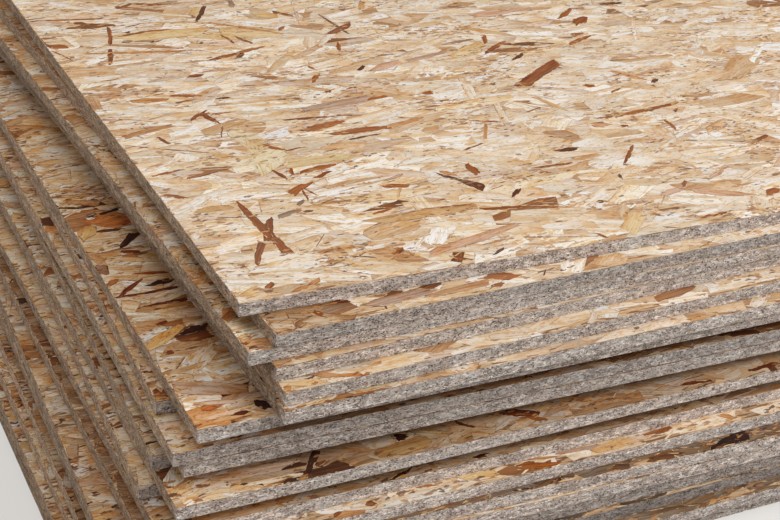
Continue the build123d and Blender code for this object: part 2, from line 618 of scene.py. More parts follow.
def shapeStrands(random, seat, middles, lengths, widths, angles, tint, rimShare, level, profile=None):
    count = len(middles)
    size = strandSizes
    placedByHand = profile is not None
    heading = np.stack([np.cos(angles), np.sin(angles)], -1)
    across = np.stack([-heading[:, 1], heading[:, 0]], -1)
    first, last, sawn = sawnReach(seat, middles, lengths, heading)
    kept = last - first > size["shortest"]
    kinds = random.choice(3, (count, 2), p=strandEnds["share"])
    endWidth = random.uniform(np.array(strandEnds["least"])[kinds], np.array(strandEnds["most"])[kinds])
    neckWidth = endWidth ** strandEnds["neckPower"] * random.uniform(*strandEnds["neck"], (count, 2))
    endWidth = np.where(sawn, 1.0, endWidth)
    stations = np.array(stationShares) + np.zeros((count, 1))
    stations[:, 2] += random.uniform(-size["middleShift"], size["middleShift"], count)
    if not placedByHand:
        middleWidth = random.uniform(*size["middle"], count)
        profile = np.stack([
            endWidth[:, 0], neckWidth[:, 0], middleWidth, neckWidth[:, 1], endWidth[:, 1],
        ], 1)
    half = widths[:, None] / 2 * profile
    wave = random.normal(0.0, size["markWave" if placedByHand else "wave"], (2, count, stationCount))
    leftHalf, rightHalf = half * (1 + wave[0]), half * (1 + wave[1])
    reach = first[:, None] + (last - first)[:, None] * stations
    bend = random.normal(0.0, size["bend"], (count, 1)) * lengths[:, None] * (1 - (2 * stations - 1) ** 2)
    slant = random.normal(0.0, size["slant"], (count, 2)) * widths[:, None] * ((kinds == 0) | placedByHand)
    slantRun = np.zeros((count, stationCount))
    slantRun[:, [0, -1]] = np.where(sawn, 0.0, slant)
    offsets = np.stack([bend + leftHalf, bend - rightHalf], -1)
    runs = np.stack([reach + slantRun, reach - slantRun], -1)
    spots = (
        middles[:, None, None, :] + runs[..., None] * heading[:, None, None, :]
        + offsets[..., None] * across[:, None, None, :]
    )
    spots[..., 0] = np.clip(spots[..., 0], 0.0, seat.length)
    spots[..., 1] = np.clip(spots[..., 1], 0.0, seat.width)
    order = random.uniform(*level, count)
    sink = size["markDepth"] + size["depth"] * (1 - order)
    tilt = size["tilt"]
    if placedByHand:
        order = (np.arange(count) + 1) / count  # later ones lie on top
        sink = size["markDepth"] * (1 - order)
        tilt = size["tilt"] * size["markTilt"]
    lean = leanOver(random, tilt, count, stations[:, :, None])
    roll = leanOver(random, tilt, count, np.array([0.0, 1.0]))
    tops = seat.high - sink[:, None, None] - lean - roll
    # what the material reads: the place in the grain, then mm to the sides and to the ends
    seeds = random.uniform(0, 30, count)[:, None, None]
    sides = np.stack([leftHalf, -rightHalf], -1)
    halfs = ((leftHalf + rightHalf) / 2)[..., None]
    rimPower = np.clip(random.normal(rimShare, size["rimSpread"], count), 0, 1)[:, None, None]
    longs = (last - first)[:, None, None]
    chance = random.random(count)[:, None, None]
    place = stacked(runs.shape, runs + seeds, sides + seeds * 0.37, seeds)
    rim = stacked(runs.shape, np.array([1.0, -1.0]), halfs * 1000, rimPower)
    run = stacked(runs.shape, stations[:, :, None], longs * 1000, chance)
    return spots, tops, place, rim, run, tint, kept


# strands that stand out, by panel: from, to, widths at start, middle and end, tone
# lengths here are in panel thicknesses, from the top panel's front left corner
markTones = {
    "white": paint(240, 235, 226),
    "cream": paint(236, 220, 192),
    "tan": paint(220, 187, 142),
    "honey": paint(230, 206, 162),
    "olive": paint(231, 217, 186),
    "orange": paint(210, 158, 104),
    "pink": paint(216, 180, 154),
    "mauve": paint(194, 166, 148),
    "grey": paint(166, 140, 120),
    "brown": paint(170, 106, 46),
    "redBrown": paint(156, 92, 38),
    "dark": paint(110, 62, 30),
}
markSizes = {
    "swell": 1.22,  # all come out this much wider than written
    "neck": 0.6,  # an end's share in the width just inside it, the rest is the middle's
    "light": 0.03,
    "rim": 0.75,
}

marks = {
    21: [
        # pale ones first, they lie lower
        (2.0, 3.5, 8.3, 2.3, (0.4, 0.6, 0.5), "white"),
        (0.2, 2.8, 6.0, 1.0, (0.5, 0.5, 0.4), "white"),
        (12.8, 0.3, 15.4, 0.5, (0.4, 0.5, 0.3), "white"),
        (8.6, 28.3, 16.6, 27.3, (0.7, 0.9, 0.6), "white"),
        (10.3, 21.5, 12.0, 21.7, (0.5, 0.8, 0.6), "white"),
        (1.4, 29.3, 4.0, 28.9, (0.5, 1.0, 0.5), "white"),
        (33.8, 10.3, 40.7, 10.8, (0.7, 1.4, 0.8), "white"),
        (23.6, 29.9, 31.7, 28.2, (0.5, 0.8, 0.5), "white"),
        (32.3, 28.4, 35.0, 28.4, (0.7, 0.9, 0.6), "white"),
        (8.2, 15.0, 11.6, 14.3, (0.5, 0.9, 0.7), "white"),
        (18.4, 15.2, 22.0, 15.9, (0.4, 0.8, 0.5), "white"),
        (24.5, 9.2, 30.4, 9.9, (0.6, 1.0, 0.7), "cream"),
        (2.2, 19.2, 8.4, 19.0, (0.8, 1.3, 0.9), "cream"),
        (12.0, 11.0, 18.5, 10.6, (0.8, 1.2, 0.7), "cream"),
        (26.0, 23.8, 33.5, 24.4, (0.8, 1.2, 0.8), "cream"),
        (9.2, 17.4, 9.9, 21.2, (1.4, 2.4, 1.6), "olive"),
        (9.9, 19.6, 8.7, 24.3, (1.2, 1.9, 1.0), "olive"),
        (8.0, 18.4, 11.2, 20.0, (0.6, 1.5, 0.9), "olive"),
        (10.5, 17.5, 15.8, 17.7, (1.3, 1.1, 0.5), "honey"),
        (29.0, 0.8, 31.5, 3.0, (1.0, 1.2, 0.8), "honey"),
        (6.5, 45.0, 14.4, 45.0, (1.4, 1.8, 1.2), "honey"),
        (14.6, 44.4, 20.4, 43.0, (1.6, 2.4, 1.2), "honey"),
        (14.5, 48.6, 15.9, 51.0, (0.8, 1.0, 0.8), "honey"),
        (20.0, 47.9, 21.9, 47.2, (1.2, 1.2, 0.9), "honey"),
        (33.0, 33.8, 37.3, 36.2, (0.9, 1.3, 0.7), "honey"),
        (12.3, 7.4, 20.6, 7.4, (0.4, 1.0, 0.5), "tan"),
        (12.4, 7.6, 16.6, 8.1, (0.08, 0.16, 0.1), "redBrown"),
        (16.6, 8.1, 20.6, 7.8, (0.1, 0.16, 0.06), "redBrown"),
        (14.1, 2.1, 22.0, 4.1, (0.5, 0.7, 0.4), "pink"),
        (1.6, 12.3, 4.2, 12.3, (0.3, 0.6, 0.4), "tan"),
        (15.6, 26.4, 22.7, 27.4, (0.5, 1.0, 0.8), "mauve"),
        (21.4, 27.0, 23.3, 27.4, (0.2, 0.5, 0.3), "brown"),
        # reddish and dark ones near the front left corner
        (4.8, 13.0, 5.3, 5.0, (0.10, 0.68, 0.60), "redBrown"),
        (2.8, 4.1, 4.2, 6.9, (0.15, 0.48, 0.45), "redBrown"),
        (4.6, 6.9, 6.1, 10.0, (0.45, 0.70, 0.12), "redBrown"),
        (4.1, 7.0, 5.2, 6.6, (0.12, 0.16, 0.1), "cream"),
        (9.1, 16.9, 9.5, 15.2, (0.1, 0.35, 0.2), "redBrown"),
        (10.4, 16.8, 10.1, 15.7, (0.2, 0.3, 0.15), "redBrown"),
        (10.8, 15.9, 13.9, 16.5, (0.3, 0.5, 0.15), "brown"),
        (8.8, 13.0, 13.0, 15.6, (0.65, 0.4, 0.2), "brown"),
        (9.9, 13.6, 9.6, 11.3, (0.08, 0.14, 0.08), "redBrown"),
        (10.0, 13.6, 10.5, 12.3, (0.08, 0.14, 0.08), "brown"),
        (15.5, 12.3, 17.5, 11.7, (0.3, 0.5, 0.3), "brown"),
        (16.8, 11.7, 15.8, 10.2, (0.15, 0.2, 0.1), "tan"),
        (16.2, 13.0, 17.9, 13.6, (0.15, 0.25, 0.15), "pink"),
        (20.4, 12.8, 22.6, 9.8, (0.25, 0.55, 0.9), "dark"),
        (20.7, 13.2, 21.6, 12.4, (0.2, 0.5, 0.2), "orange"),
        (23.3, 13.8, 23.3, 12.0, (0.5, 0.7, 0.4), "brown"),
        (20.6, 6.9, 23.8, 6.3, (0.3, 0.45, 0.15), "brown"),
        (13.0, 8.4, 15.0, 8.9, (0.15, 0.25, 0.1), "brown"),
        (6.6, 9.8, 8.4, 10.5, (0.3, 0.5, 0.2), "grey"),
        (8.6, 11.2, 9.4, 11.8, (0.2, 0.3, 0.2), "grey"),
        (8.6, 10.1, 9.3, 10.1, (0.2, 0.3, 0.2), "redBrown"),
        (2.3, 1.2, 2.9, 1.8, (0.2, 0.4, 0.2), "brown"),
        (0.5, 0.8, 1.8, 1.4, (0.3, 0.5, 0.3), "honey"),
        (3.7, 0.3, 5.9, 1.3, (0.2, 0.35, 0.2), "orange"),
        (6.8, 2.1, 7.1, 2.3, (0.2, 0.25, 0.2), "dark"),
        (8.3, 2.5, 8.6, 2.7, (0.2, 0.25, 0.2), "dark"),
        (9.0, 3.4, 10.5, 2.7, (0.08, 0.12, 0.08), "dark"),
        (11.8, 2.8, 12.8, 3.4, (0.3, 0.4, 0.1), "brown"),
        (15.2, 1.5, 16.4, 0.5, (0.1, 0.3, 0.1), "redBrown"),
        (18.2, 0.7, 19.3, 1.3, (0.1, 0.25, 0.1), "dark"),
        (0.4, 15.3, 1.7, 14.3, (0.2, 0.4, 0.2), "brown"),
        (13.8, 18.6, 15.0, 18.9, (0.1, 0.2, 0.1), "brown"),
        (0.5, 18.3, 3.0, 18.8, (0.15, 0.25, 0.1), "brown"),
        # further back along the left side
        (3.0, 24.6, 3.5, 23.2, (0.2, 0.35, 0.2), "redBrown"),
        (6.4, 26.8, 8.3, 28.4, (0.1, 0.35, 0.1), "redBrown"),
        (7.7, 27.8, 8.3, 25.7, (0.8, 0.5, 0.05), "redBrown"),
        (8.5, 27.5, 10.2, 27.5, (0.3, 0.3, 0.05), "redBrown"),
        (8.7, 25.8, 7.6, 23.3, (0.12, 0.12, 0.06), "brown"),
        (3.2, 31.6, 6.1, 31.1, (0.4, 0.7, 0.3), "orange"),
        (6.5, 31.8, 8.9, 31.2, (0.3, 0.5, 0.2), "brown"),
        (6.4, 30.3, 8.0, 30.6, (0.15, 0.3, 0.15), "brown"),
        (9.7, 30.3, 11.0, 30.3, (0.15, 0.3, 0.15), "dark"),
        (8.6, 29.1, 16.0, 28.9, (0.1, 0.25, 0.1), "tan"),
        (12.7, 25.0, 18.9, 24.5, (0.1, 0.28, 0.05), "redBrown"),
        (14.0, 22.6, 17.8, 23.7, (0.4, 0.9, 0.3), "brown"),
        (15.8, 21.4, 20.8, 21.6, (0.5, 0.8, 0.4), "brown"),
        (20.6, 21.7, 24.0, 22.4, (0.4, 0.5, 0.2), "orange"),
        (16.2, 20.2, 19.5, 20.6, (0.1, 0.25, 0.1), "dark"),
        (10.2, 21.0, 11.2, 19.8, (0.2, 0.6, 0.3), "brown"),
        (11.2, 19.7, 13.0, 19.9, (0.3, 0.3, 0.1), "brown"),
        (9.2, 35.3, 10.5, 35.3, (0.3, 0.6, 0.3), "redBrown"),
        (11.0, 36.0, 13.6, 36.0, (0.2, 0.4, 0.2), "pink"),
        (11.9, 38.2, 15.4, 39.3, (0.2, 0.45, 0.4), "brown"),
        (15.2, 39.3, 18.0, 40.3, (0.4, 0.4, 0.1), "brown"),
        (14.7, 38.3, 15.4, 39.1, (0.3, 0.5, 0.3), "dark"),
        (18.7, 29.2, 19.3, 29.4, (0.3, 0.5, 0.3), "brown"),
        (18.6, 31.5, 19.7, 33.0, (0.2, 0.4, 0.2), "brown"),
        (19.7, 35.0, 20.0, 34.0, (0.2, 0.3, 0.2), "brown"),
        (23.4, 33.0, 24.4, 33.9, (0.2, 0.4, 0.2), "dark"),
        (24.6, 32.6, 27.9, 34.1, (0.4, 1.0, 0.6), "pink"),
        (28.5, 34.0, 33.2, 35.3, (0.4, 0.6, 0.2), "mauve"),
        (0.3, 23.8, 5.8, 20.9, (0.08, 0.12, 0.08), "brown"),
        (1.3, 28.5, 3.6, 27.4, (0.08, 0.12, 0.08), "brown"),
        (1.0, 33.1, 3.0, 32.6, (0.3, 0.6, 0.3), "pink"),
        (2.4, 42.2, 11.0, 40.8, (0.2, 0.45, 0.3), "orange"),
        (3.9, 39.3, 5.0, 42.7, (0.2, 0.4, 0.3), "redBrown"),
        (5.2, 43.7, 6.3, 47.8, (0.3, 0.4, 0.2), "redBrown"),
        (6.3, 45.3, 9.3, 46.1, (0.1, 0.4, 0.3), "brown"),
        (9.2, 46.1, 11.5, 46.1, (0.3, 0.35, 0.1), "brown"),
        (15.2, 47.0, 20.6, 42.7, (0.2, 0.5, 0.2), "orange"),
        (15.2, 43.7, 15.6, 41.6, (0.2, 0.35, 0.2), "brown"),
        (16.3, 42.9, 17.1, 41.1, (0.2, 0.35, 0.2), "brown"),
        (0.2, 44.6, 1.7, 44.0, (0.5, 0.8, 0.4), "brown"),
        (0.2, 43.5, 1.3, 40.9, (0.1, 0.15, 0.1), "brown"),
        (0.2, 50.7, 6.5, 50.0, (0.2, 0.35, 0.2), "brown"),
        (8.4, 52.3, 10.2, 53.2, (0.2, 0.4, 0.3), "brown"),
        (10.2, 53.2, 12.8, 52.4, (0.3, 0.4, 0.2), "brown"),
        (8.7, 43.4, 9.1, 43.6, (0.2, 0.3, 0.2), "dark"),
        (12.6, 42.1, 13.0, 42.3, (0.2, 0.3, 0.2), "dark"),
        (14.3, 47.5, 16.4, 51.2, (0.1, 0.4, 0.3), "dark"),
        (18.7, 50.3, 19.2, 52.1, (0.3, 0.5, 0.3), "grey"),
        (21.9, 48.3, 23.2, 47.0, (0.4, 0.6, 0.2), "redBrown"),
        (20.6, 43.5, 21.4, 44.5, (0.2, 0.4, 0.2), "brown"),
        (25.8, 46.7, 26.4, 41.3, (0.1, 0.3, 0.15), "dark"),
        (24.5, 41.6, 27.7, 43.8, (0.3, 0.7, 0.3), "redBrown"),
        (30.3, 47.0, 31.4, 49.2, (0.3, 0.5, 0.3), "tan"),
        (23.8, 37.7, 24.6, 39.7, (0.2, 0.4, 0.2), "brown"),
        # to the right of the middle
        (28.0, 11.7, 31.3, 11.7, (0.15, 0.35, 0.15), "brown"),
        (31.2, 13.9, 33.2, 13.9, (0.2, 0.5, 0.2), "dark"),
        (35.0, 10.3, 37.8, 13.2, (0.1, 0.3, 0.1), "brown"),
        (24.0, 8.0, 24.9, 8.9, (0.2, 0.4, 0.2), "dark"),
        (33.4, 8.2, 33.7, 9.1, (0.1, 0.25, 0.1), "dark"),
        (29.4, 5.4, 30.0, 5.4, (0.2, 0.35, 0.2), "dark"),
        (37.2, 5.6, 38.0, 6.5, (0.15, 0.35, 0.15), "brown"),
        (34.8, 4.9, 37.2, 5.6, (0.3, 0.6, 0.4), "pink"),
        (37.5, 4.9, 41.3, 3.0, (0.5, 0.7, 0.3), "pink"),
        (32.3, 2.9, 32.7, 2.1, (0.2, 0.35, 0.2), "brown"),
        (35.3, 1.1, 37.7, 1.1, (0.15, 0.35, 0.15), "brown"),
        (26.7, 1.2, 26.9, 0.5, (0.2, 0.3, 0.2), "brown"),
        (38.0, 18.5, 46.0, 19.4, (0.2, 0.5, 0.3), "brown"),
        (36.8, 17.3, 38.4, 17.3, (0.3, 0.6, 0.3), "pink"),
        (39.0, 16.6, 39.7, 16.6, (0.2, 0.4, 0.2), "brown"),
        (43.2, 14.9, 43.4, 16.7, (0.2, 0.35, 0.2), "brown"),
        (45.3, 18.0, 45.9, 18.5, (0.1, 0.25, 0.1), "dark"),
        (47.5, 10.7, 50.0, 11.8, (0.2, 0.4, 0.2), "brown"),
        (42.5, 2.6, 44.2, 3.3, (0.3, 0.6, 0.3), "brown"),
        (41.8, 7.6, 44.8, 7.6, (0.2, 0.4, 0.2), "pink"),
        (40.3, 6.4, 42.2, 7.3, (0.2, 0.4, 0.2), "pink"),
        (35.2, 23.9, 36.4, 20.6, (0.3, 0.5, 0.2), "tan"),
        (27.0, 17.5, 28.5, 20.0, (0.2, 0.35, 0.2), "orange"),
        (27.5, 21.0, 30.0, 20.0, (0.1, 0.3, 0.1), "brown"),
        (35.2, 26.2, 41.6, 30.4, (0.75, 0.95, 0.8), "redBrown"),
        (29.5, 29.4, 31.6, 29.4, (0.2, 0.4, 0.2), "tan"),
        (26.4, 27.0, 27.4, 27.0, (0.4, 0.6, 0.4), "brown"),
        (33.6, 36.8, 37.0, 37.4, (0.2, 0.4, 0.2), "grey"),
        (36.2, 33.9, 39.7, 36.3, (0.2, 0.6, 0.2), "redBrown"),
        (37.6, 36.2, 38.5, 38.2, (0.2, 0.4, 0.2), "brown"),
        (37.9, 31.8, 39.6, 33.0, (0.2, 0.5, 0.3), "dark"),
        (37.2, 40.6, 41.1, 37.4, (0.4, 0.7, 0.4), "tan"),
        (40.0, 43.0, 44.4, 43.6, (0.8, 1.2, 0.7), "pink"),
        (44.4, 43.6, 48.8, 43.2, (0.6, 0.7, 0.3), "pink"),
        (48.7, 38.7, 50.9, 40.2, (0.4, 0.9, 0.4), "redBrown"),
        (47.9, 40.3, 50.8, 42.8, (0.2, 0.5, 0.3), "brown"),
        (54.3, 43.0, 57.0, 43.0, (0.3, 0.6, 0.3), "dark"),
        (45.1, 34.0, 48.5, 35.6, (0.3, 0.5, 0.2), "brown"),
        (46.7, 36.3, 48.2, 36.3, (0.2, 0.4, 0.2), "brown"),
        (47.0, 26.0, 51.4, 26.9, (0.2, 0.45, 0.2), "pink"),
        (45.2, 27.4, 47.0, 24.7, (0.3, 0.6, 0.3), "orange"),
        (47.3, 24.0, 48.2, 24.6, (0.2, 0.4, 0.2), "dark"),
        (41.0, 25.2, 41.8, 24.6, (0.3, 0.6, 0.3), "brown"),
        (42.3, 23.0, 43.8, 23.6, (0.1, 0.25, 0.1), "brown"),
    ],
    20: [
        (1.6, -1.5, 2.9, -1.9, (0.9, 1.1, 0.6), "white"),
        (3.6, -1.8, 5.8, -2.0, (0.2, 0.9, 0.3), "white"),
        (4.4, -0.8, 4.9, -1.2, (0.1, 0.5, 0.4), "orange"),
        (9.4, -0.5, 9.1, -1.9, (0.06, 0.1, 0.06), "dark"),
        (6.1, 0.0, 7.3, -0.3, (0.1, 0.3, 0.2), "brown"),
        (8.4, -1.2, 13.0, -0.6, (0.5, 0.9, 0.6), "mauve"),
        (17.0, -0.2, 19.5, -0.8, (0.3, 0.8, 0.2), "brown"),
        (21.8, -0.3, 21.0, -1.3, (0.06, 0.1, 0.06), "dark"),
        (16.8, -1.6, 17.9, -1.3, (0.2, 0.4, 0.2), "redBrown"),
    ],
    15: [
        (-2.0, 23.7, 0.3, 24.2, (1.0, 2.2, 1.8), "orange"),
        (-2.3, 24.8, 0.3, 25.5, (0.15, 0.4, 0.4), "dark"),
        (-2.4, 22.4, -0.4, 22.3, (0.2, 0.35, 0.2), "redBrown"),
        (-1.4, 19.5, 0.4, 21.5, (0.2, 0.6, 0.9), "dark"),
        (-1.7, 19.0, -0.2, 18.6, (0.2, 0.5, 0.2), "brown"),
        (-3.9, 16.8, -3.1, 16.8, (0.8, 1.0, 0.9), "mauve"),
        (-1.7, 15.6, 0.6, 15.2, (0.1, 0.3, 0.25), "brown"),
        (-3.8, 14.6, -2.9, 15.2, (0.3, 0.4, 0.2), "orange"),
        (-3.6, 12.9, -1.3, 14.8, (0.2, 0.4, 0.1), "brown"),
        (-1.2, 13.7, 0.6, 14.1, (0.2, 0.5, 0.4), "dark"),
        (-3.8, 12.8, 0.7, 12.9, (0.15, 0.28, 0.3), "redBrown"),
        (-2.8, 11.0, 0.8, 11.2, (0.1, 0.3, 0.3), "redBrown"),
        (-3.8, 9.7, -0.2, 9.6, (0.5, 0.8, 0.6), "white"),
        (-2.4, 8.6, -1.5, 8.8, (0.1, 0.3, 0.2), "brown"),
        (-3.9, 5.8, -0.7, 8.0, (0.5, 0.8, 0.4), "honey"),
        (-1.3, 7.0, 0.8, 7.4, (0.2, 0.6, 0.6), "dark"),
        (-2.9, 5.0, -2.3, 5.1, (0.2, 0.4, 0.2), "brown"),
        (-2.8, -1.8, -1.8, -1.7, (0.2, 0.35, 0.1), "orange"),
        (-1.3, -2.8, -0.2, -2.8, (0.1, 0.35, 0.1), "brown"),
        (0.5, -2.0, 1.1, -2.9, (0.3, 0.7, 0.5), "dark"),
        (-3.6, 21.6, -2.4, 23.4, (0.5, 1.0, 0.5), "honey"),
    ],
    10: [
        (5.1, -1.7, 3.2, -4.0, (0.40, 0.45, 0.35), "dark"),
        (5.2, -2.8, 4.3, -3.2, (0.1, 0.25, 0.1), "brown"),
        (10.5, -1.9, 11.3, -2.3, (0.3, 0.7, 0.4), "dark"),
        (8.6, -3.4, 12.6, -3.0, (0.6, 1.1, 0.7), "honey"),
        (12.0, -2.0, 14.2, -3.0, (0.4, 0.8, 0.3), "olive"),
        (15.1, -1.7, 16.2, -2.9, (0.1, 0.3, 0.1), "brown"),
        (18.4, -1.8, 21.2, -2.9, (0.2, 0.7, 0.4), "redBrown"),
        (19.8, -2.6, 21.3, -3.8, (0.2, 0.5, 0.2), "orange"),
        (24.2, -2.0, 25.4, -2.8, (0.1, 0.4, 0.2), "orange"),
        (32.9, -3.2, 35.4, -3.5, (0.1, 0.35, 0.2), "redBrown"),
        (38.9, -3.3, 41.8, -3.2, (0.2, 0.5, 0.3), "brown"),
    ],
    8: [
        (15.9, -3.5, 17.0, -3.5, (0.2, 0.4, 0.2), "dark"),
        (9.3, -3.9, 11.3, -3.2, (0.1, 0.35, 0.2), "dark"),
    ],
    7: [
        (4.9, -4.9, 7.2, -5.1, (0.3, 0.6, 0.4), "orange"),
        (5.0, -4.9, 5.7, -4.5, (0.1, 0.3, 0.1), "redBrown"),
        (7.5, -4.3, 8.2, -4.6, (0.2, 0.5, 0.2), "redBrown"),
        (8.6, -4.8, 14.0, -4.7, (0.3, 0.8, 0.5), "white"),
        (11.5, -4.0, 12.7, -4.1, (0.1, 0.3, 0.1), "brown"),
        (14.6, -4.0, 17.4, -4.3, (0.4, 0.8, 0.5), "honey"),
        (19.0, -4.2, 20.5, -4.2, (0.2, 0.4, 0.2), "brown"),
        (19.1, -4.4, 22.1, -4.9, (0.3, 0.5, 0.2), "brown"),
        (22.3, -3.9, 25.9, -4.1, (0.1, 0.4, 0.3), "mauve"),
        (25.0, -4.6, 28.5, -4.2, (0.4, 0.8, 0.5), "tan"),
        (29.6, -4.1, 32.1, -4.0, (0.2, 0.5, 0.3), "brown"),
        (36.4, -3.9, 37.3, -4.6, (0.2, 0.5, 0.3), "orange"),
    ],
    6: [
        (34.2, -6.2, 38.1, -5.4, (0.3, 0.9, 0.7), "dark"),
        (32.9, -6.3, 34.4, -5.7, (0.2, 0.5, 0.2), "cream"),
        (21.3, -5.4, 22.1, -5.4, (0.1, 0.4, 0.2), "redBrown"),
        (29.0, -5.6, 31.5, -5.9, (0.3, 0.7, 0.3), "orange"),
    ],
}


def markedStrands(random, seat, rows):
    thickness = seat.high - seat.low
    zero = seats[-1].origin
    ends = zero + thickness * np.array([row[:4] for row in rows]).reshape(-1, 2, 2) - seat.origin
    ends = np.stack([ends @ seat.along, ends @ seat.across], -1)
    reach = ends[:, 1] - ends[:, 0]
    lengths = np.linalg.norm(reach, axis=1)
    angles = np.arctan2(reach[:, 1], reach[:, 0])
    start, middle, end = (markSizes["swell"] * thickness * np.array([row[4] for row in rows])).T
    neck = markSizes["neck"]
    profile = np.stack([
        start, neck * start + (1 - neck) * middle, middle, neck * end + (1 - neck) * middle, end,
    ], 1) / middle[:, None]
    tint = np.array([markTones[row[5]][:3] for row in rows])
    tint = tint * random.normal(1.0, markSizes["light"], (len(rows), 1))
    return shapeStrands(
        random, seat, ends.mean(1), lengths, middle, angles, tint, markSizes["rim"], (0, 1), profile)


# all strands on top of a panel, in arrays with one row for each strand
def growStrands(random, seat, cover, number):
    parts = []
    for kind in strandKinds.values():
        middles = scatter(random, seat, kind["cell"])
        count = len(middles)
        lengths = someSizes(random, count, *kind["length"])
        widths = someSizes(random, count, *kind["width"])
        angles = strandAngles(random, count)
        tint = pickTones(random, count, kind["tones"])
        *grown, kept = shapeStrands(
            random, seat, middles, lengths, widths, angles, tint, kind["rim"], kind["level"])
        if cover is not None:
            under = depthUnder(seat, cover, grown[0]).reshape(count, -1).min(1)
            kept &= under < strandSizes["covered"]
        parts.append([array[kept] for array in grown])
    if number in marks:
        *grown, kept = markedStrands(random, seat, marks[number])
        parts.append([array[kept] for array in grown])
    return [np.concatenate(arrays) for arrays in zip(*parts)]


# places on the surface map, as shares of its width and height
mapSizes = {
    "strip": 0.05,  # height of each of the six rows that hold the sides
    "stripGap": 0.04,
    "stripFill": 0.92,
    "capHeight": 0.055,
    "topCap": 0.302,
    "underCap": 0.362,
    "strands": 0.425,  # where the strands start when they share the map with the sides
    "patchShape": 5.0,  # a strand's patch is about this much wider than high
    "patchGap": 0.06,
    "patchFill": 0.88,
}
slabMap = {
    "along": (0.0, 0.14, 0.5, 0.86, 1.0),
    "bands": ((1, 0, 0.12, 0.88), (2, 1, 0.05, 0.12), (3, 2, 0.0, 0.05), (0, 3, 0.88, 0.95)),
}


# one closed slab for each strand: four points at each of five stations
def slabTemplate():
    faces, places = [], []
    along = slabMap["along"]
    for i in range(stationCount - 1):
        for lower, upper, vLow, vHigh in slabMap["bands"]:
            faces.append([4 * i + lower, 4 * i + 4 + lower, 4 * i + 4 + upper, 4 * i + upper])
            uLow, uHigh = along[i], along[i + 1]
            places.append([(uLow, vLow), (uHigh, vLow), (uHigh, vHigh), (uLow, vHigh)])
    last = 4 * (stationCount - 1)
    faces.append([0, 3, 2, 1])
    places.append([(0.0, 0.88), (0.0, 0.9), (0.0, 0.1), (0.0, 0.12)])
    faces.append([last, last + 1, last + 2, last + 3])
    places.append([(1.0, 0.88), (1.0, 0.12), (1.0, 0.1), (1.0, 0.9)])
    return np.array(faces), np.array(places)


slabFaces, slabPlaces = slabTemplate()


def slabGeometry(seat, grown, mapLow=0.0):
    spots, tops, place, rim, run, tint = grown
    count = len(spots)
    upper = toWorld(seat, spots, tops)
    lower = upper - np.array([0, 0, strandSizes["slab"]])
    points = np.concatenate([upper, lower[:, :, ::-1]], 2).reshape(count, -1, 3)
    place, rim, run, tint = (
        np.concatenate([values, values[:, :, ::-1]], 2).reshape(-1, values.shape[-1])
        for values in (place, rim, run, tint)
    )
    faces = slabFaces[None] + (np.arange(count) * points.shape[1])[:, None, None]
    # a strand's own patch of the surface map
    mapHeight = 1.0 - mapLow
    rows = max(1, int(math.sqrt(mapSizes["patchShape"] * count * mapHeight)))
    columns = int(math.ceil(count / rows))
    cell = np.array([1.0 / columns, mapHeight / rows])
    corner = np.stack([np.arange(count) % columns, np.arange(count) // columns], -1) * cell
    corner = corner + np.array([0, mapLow])
    inner = mapSizes["patchGap"] + mapSizes["patchFill"] * slabPlaces[None]
    uv = corner[:, None, None, :] + inner * cell
    return {
        "points": points.reshape(-1, 3), "faces": faces.reshape(-1, 4), "uv": uv.reshape(-1, 2),
        "place": place, "rim": rim, "run": run, "tint": tint,
    }


# sawn sides with their ragged arrises, closed by the bed under the strands and by the underside

edgeSizes = {
    "step": 0.015,
    "rows": (0.0, 0.0005, 0.0020, 0.0045, 0.0075, 0.0105, 0.0135, 0.0160, 0.0170, 0.0175),
    "relief": 0.00032,
    "usual": 0.55,  # typical and greatest roughness, as shares of the relief
    "most": 2.0,
    "chip": 0.0007,
    "leastChip": 0.2,  # share of the deepest chip
    "chipShare": 0.12,  # of the spots along an arris
    "underset": 0.00035,  # the lower arris lies this far in
    "grainStep": (9.3, 1.7),  # metres between the grain of one panel and the next
}


# values at the four corners of each quad of a side
def cornerValues(low, high, lower, upper, *rest):
    corners = ((low, lower), (high, lower), (high, upper), (low, upper))
    values = [np.stack(np.broadcast_arrays(along, up, *rest), -1) for along, up in corners]
    return np.stack(values, 2).reshape(-1, 2 + len(rest))


